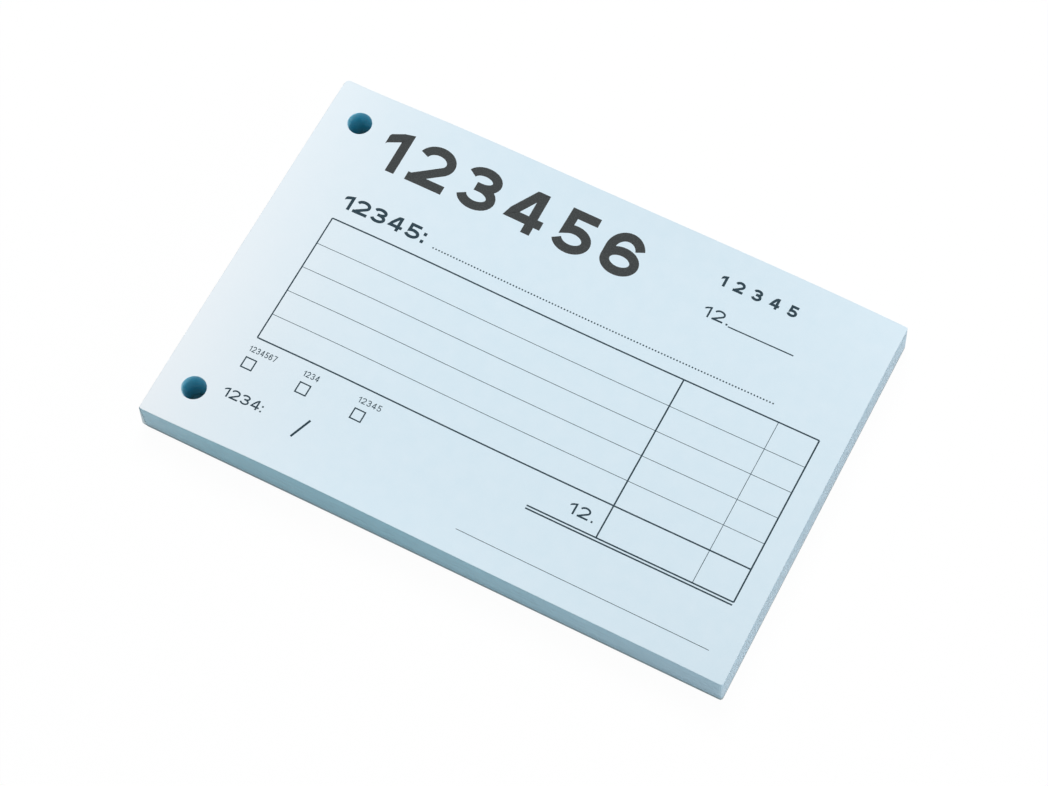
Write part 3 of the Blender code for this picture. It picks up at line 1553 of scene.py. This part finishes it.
@dataclass(frozen=True)
class Studio:
    """A plain pale floor, soft light and a white background."""

    floor_half: float = 3.0
    floor_drop: float = 0.0001
    floor_grey: tuple = colour(0.92, 0.92, 0.92)
    floor_shade: tuple = colour(0.34, 0.52, 0.56)
    white: tuple = colour(1.0, 1.0, 1.0)
    floor_glow: float = 0.967
    sky: tuple = colour(0.94, 1.0, 1.04)
    ambient: float = 0.34
    under_pad: tuple = (0.07, 0.045)
    seen_rays: tuple = ("Is Camera Ray", "Is Glossy Ray", "Is Transmission Ray")
    lamps: tuple = (
        Lamp("key_lamp", (-0.3, 0.55, 1.15), (-0.02, 0.0, 0.0), (0.7, 0.7), 12.1, (1.0, 0.985, 0.98)),
        Lamp("side_lamp", (1.1, 0.25, 0.35), (0.0, 0.0, 0.0), (0.6, 0.6), 4.95, (1.0, 0.86, 0.82)),
        Lamp("front_lamp", (0.34, -0.6, 0.08), (0.02, 0.0, 0.0), (0.5, 0.12), 0.38, (0.45, 0.88, 1.0)),
    )

    def _seen(self, graph: Graph) -> Value:
        """Return 1 for rays from the camera, from gloss and through glass, and 0 for other rays."""
        camera, gloss, glass = (graph.node("ShaderNodeLightPath", out=ray) for ray in self.seen_rays)
        return camera + gloss + glass

    def _under_pad(self, graph: Graph) -> Value:
        """Return 1 on the floor under the pad, which shows only through the filing holes, and 0 elsewhere."""
        in_x, in_y = (graph.along(axis).within(limit) for axis, limit in zip("XY", self.under_pad))
        return in_x * in_y

    def _floor(self) -> None:
        """Lay the floor, which looks white and keeps a soft shadow."""
        material = bpy.data.materials.new("studio_floor")
        graph = Graph(material)
        seen = self._seen(graph)
        under = self._under_pad(graph)
        # painted shade: the floor under the pad, seen only through the filing holes, is a dark blue-grey
        shade = graph.mix(under, graph.mix(seen, self.floor_grey, self.white), self.floor_shade)
        matt = graph.node("ShaderNodeBsdfDiffuse", sockets={"Color": shade})
        glow = graph.node("ShaderNodeEmission", sockets={"Color": self.white, "Strength": 1.0})
        share = seen * self.floor_glow * (1.0 - under)
        both = graph.node("ShaderNodeMixShader", sockets={0: share, 1: matt, 2: glow})
        graph.node("ShaderNodeOutputMaterial", sockets={"Surface": both})
        ends = (-self.floor_half, self.floor_half)
        x, y = np.meshgrid(ends, ends)
        points = np.column_stack([x.ravel(), y.ravel(), np.full(x.size, -self.floor_drop)])
        floor = Shape(points, grid_faces(*x.shape), np.zeros(1, int), np.zeros(1, bool))
        floor.piece("studio_floor", [material])

    def _world(self) -> None:
        """Light the scene evenly from all round, and show white behind it."""
        world = bpy.data.worlds.new("studio_world")
        graph = Graph(world)
        seen = self._seen(graph)
        strength = seen * (1.0 - self.ambient) + self.ambient
        tint = graph.mix(seen, self.sky, self.white)
        sky = graph.node("ShaderNodeBackground", sockets={"Color": tint, "Strength": strength})
        graph.node("ShaderNodeOutputWorld", sockets={"Surface": sky})
        bpy.context.scene.world = world

    def build(self) -> None:
        """Set up the floor, the sky and the lamps."""
        self._floor()
        self._world()
        for lamp in self.lamps:
            lamp.build()
        bpy.context.scene.view_settings.view_transform = "Standard"


@dataclass(frozen=True)
class Viewpoint:
    """The camera: the point that it faces, and where it stands round that point."""

    name: str = "photo_camera"
    target: tuple = (0.00269, -0.00662, 0.01065)
    azimuth_deg: float = 28.51
    elevation_deg: float = 64.113
    roll_deg: float = -1.243
    distance: float = 0.70318
    nearest: float = 0.01
    lens_mm: float = 104.19
    sensor_mm: float = 36.0

    def build(self) -> None:
        """Stand the camera on a sphere round its target, turned by its roll."""
        azimuth, elevation = math.radians(self.azimuth_deg), math.radians(self.elevation_deg)
        flat = math.cos(elevation)
        back = Vector((math.sin(azimuth) * flat, -math.cos(azimuth) * flat, math.sin(elevation)))
        data = bpy.data.cameras.new(self.name)
        data.lens = self.lens_mm
        data.sensor_width = self.sensor_mm
        data.clip_start = self.nearest
        camera = bpy.data.objects.new(self.name, data)
        turn = (-back).to_track_quat("-Z", "Y").to_matrix().to_4x4()
        roll = Matrix.Rotation(math.radians(self.roll_deg), 4, "Z")
        camera.matrix_world = Matrix.Translation(Vector(self.target) + back * self.distance) @ turn @ roll
        bpy.context.scene.collection.objects.link(camera)
        bpy.context.scene.camera = camera


def build_paper() -> Paper:
    """Take the sheets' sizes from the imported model.

    Returns:
        What all sheets share.
    """
    low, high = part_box("form_sheet_1")
    length, width = high.x - low.x, high.y - low.y
    form = StackForm(low.x, length, width, high.z)
    return Paper(SheetPlan(low.x, length, width), form, Finishes())


def main() -> None:
    """Build the camera, the studio and then the pad from the table up."""
    logging.basicConfig(level=logging.INFO, format="%(message)s")
    Viewpoint().build()
    Studio().build()
    paper = build_paper()
    BackingBoard(paper).build()
    GlueFilm(paper).build()
    turning = [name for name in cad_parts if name.startswith("form_sheet_")]
    bundles = sorted(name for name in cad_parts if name.startswith("sheet_bundle_"))
    number = len(turning) + 1
    for position, node in enumerate(bundles):
        bundle = SheetBundle(paper, node, number, FINE if position == 0 else COARSE)
        if position == 0:
            PrintedForm(paper, number, bundle.heights[0], PAD_BODY).build()
        number += bundle.build()
    for number in range(1, len(turning) + 1):
        sheet = TurningSheet(paper, number)
        sheet.build()
        PrintedForm(paper, number, sheet.top, sheet.body).build()


if __name__ == "__main__":
    main()
